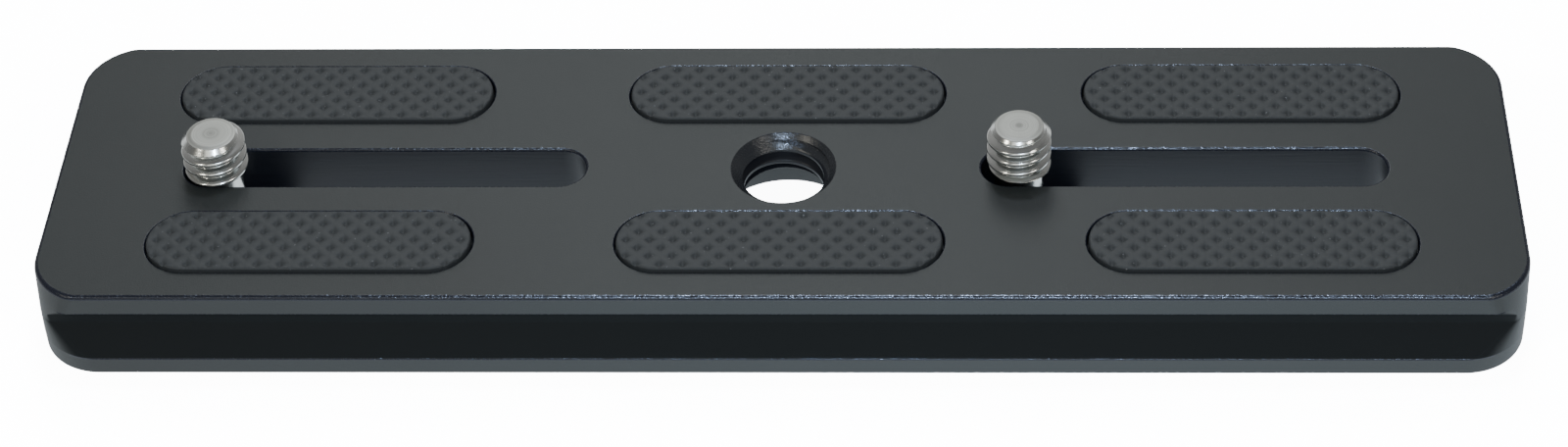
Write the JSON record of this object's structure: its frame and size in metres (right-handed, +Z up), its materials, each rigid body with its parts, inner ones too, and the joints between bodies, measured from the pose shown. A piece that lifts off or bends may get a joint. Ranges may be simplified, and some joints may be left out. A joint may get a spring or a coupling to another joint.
{
  "type": "quick release plate",
  "caption": "Long dovetail camera plate with a flanged top, rubber grip strips, lengthwise slots with captive camera screws and a tapped centre hole.",
  "frame": {"origin": "centre of the foot's lower face", "axes": "+X along the plate, +Y across it to the back, +Z up out of the camera face"},
  "size_m": [0.14, 0.0388, 0.0139],
  "materials": {
    "anodised_aluminium": "bead blasted and black anodised, satin, with brighter broken edges",
    "pad_rubber": "matt black moulded rubber with a raised diamond net",
    "screw_steel": "turned and rolled stainless steel, semi-bright",
    "washer_plastic": "black plastic"
  },
  "bodies": {
    "plate": {"plate": "anodised_aluminium", "pad_back_left": "pad_rubber", "pad_back_middle": "pad_rubber", "pad_back_right": "pad_rubber", "pad_front_left": "pad_rubber", "pad_front_middle": "pad_rubber", "pad_front_right": "pad_rubber"},
    "left_washer": {"left_washer": "washer_plastic"},
    "left_screw": {"left_screw": "screw_steel"},
    "right_washer": {"right_washer": "washer_plastic"},
    "right_screw": {"right_screw": "screw_steel"}
  },
  "joints": [
    {"name": "left_screw_slide", "type": "slide", "parent": "plate", "child": "left_washer", "axis": [1, 0, 0], "range_m": [-0.00055, 0.03305]},
    {"name": "left_screw_turn", "type": "hinge", "parent": "left_washer", "child": "left_screw", "pos_m": [-0.05465, 0, 0], "axis": [0, 0, 1], "continuous": true},
    {"name": "right_screw_slide", "type": "slide", "parent": "plate", "child": "right_washer", "axis": [1, 0, 0], "range_m": [-0.00098, 0.03262]},
    {"name": "right_screw_turn", "type": "hinge", "parent": "right_washer", "child": "right_screw", "pos_m": [0.02258, 0, 0], "axis": [0, 0, 1], "continuous": true}
  ]
}
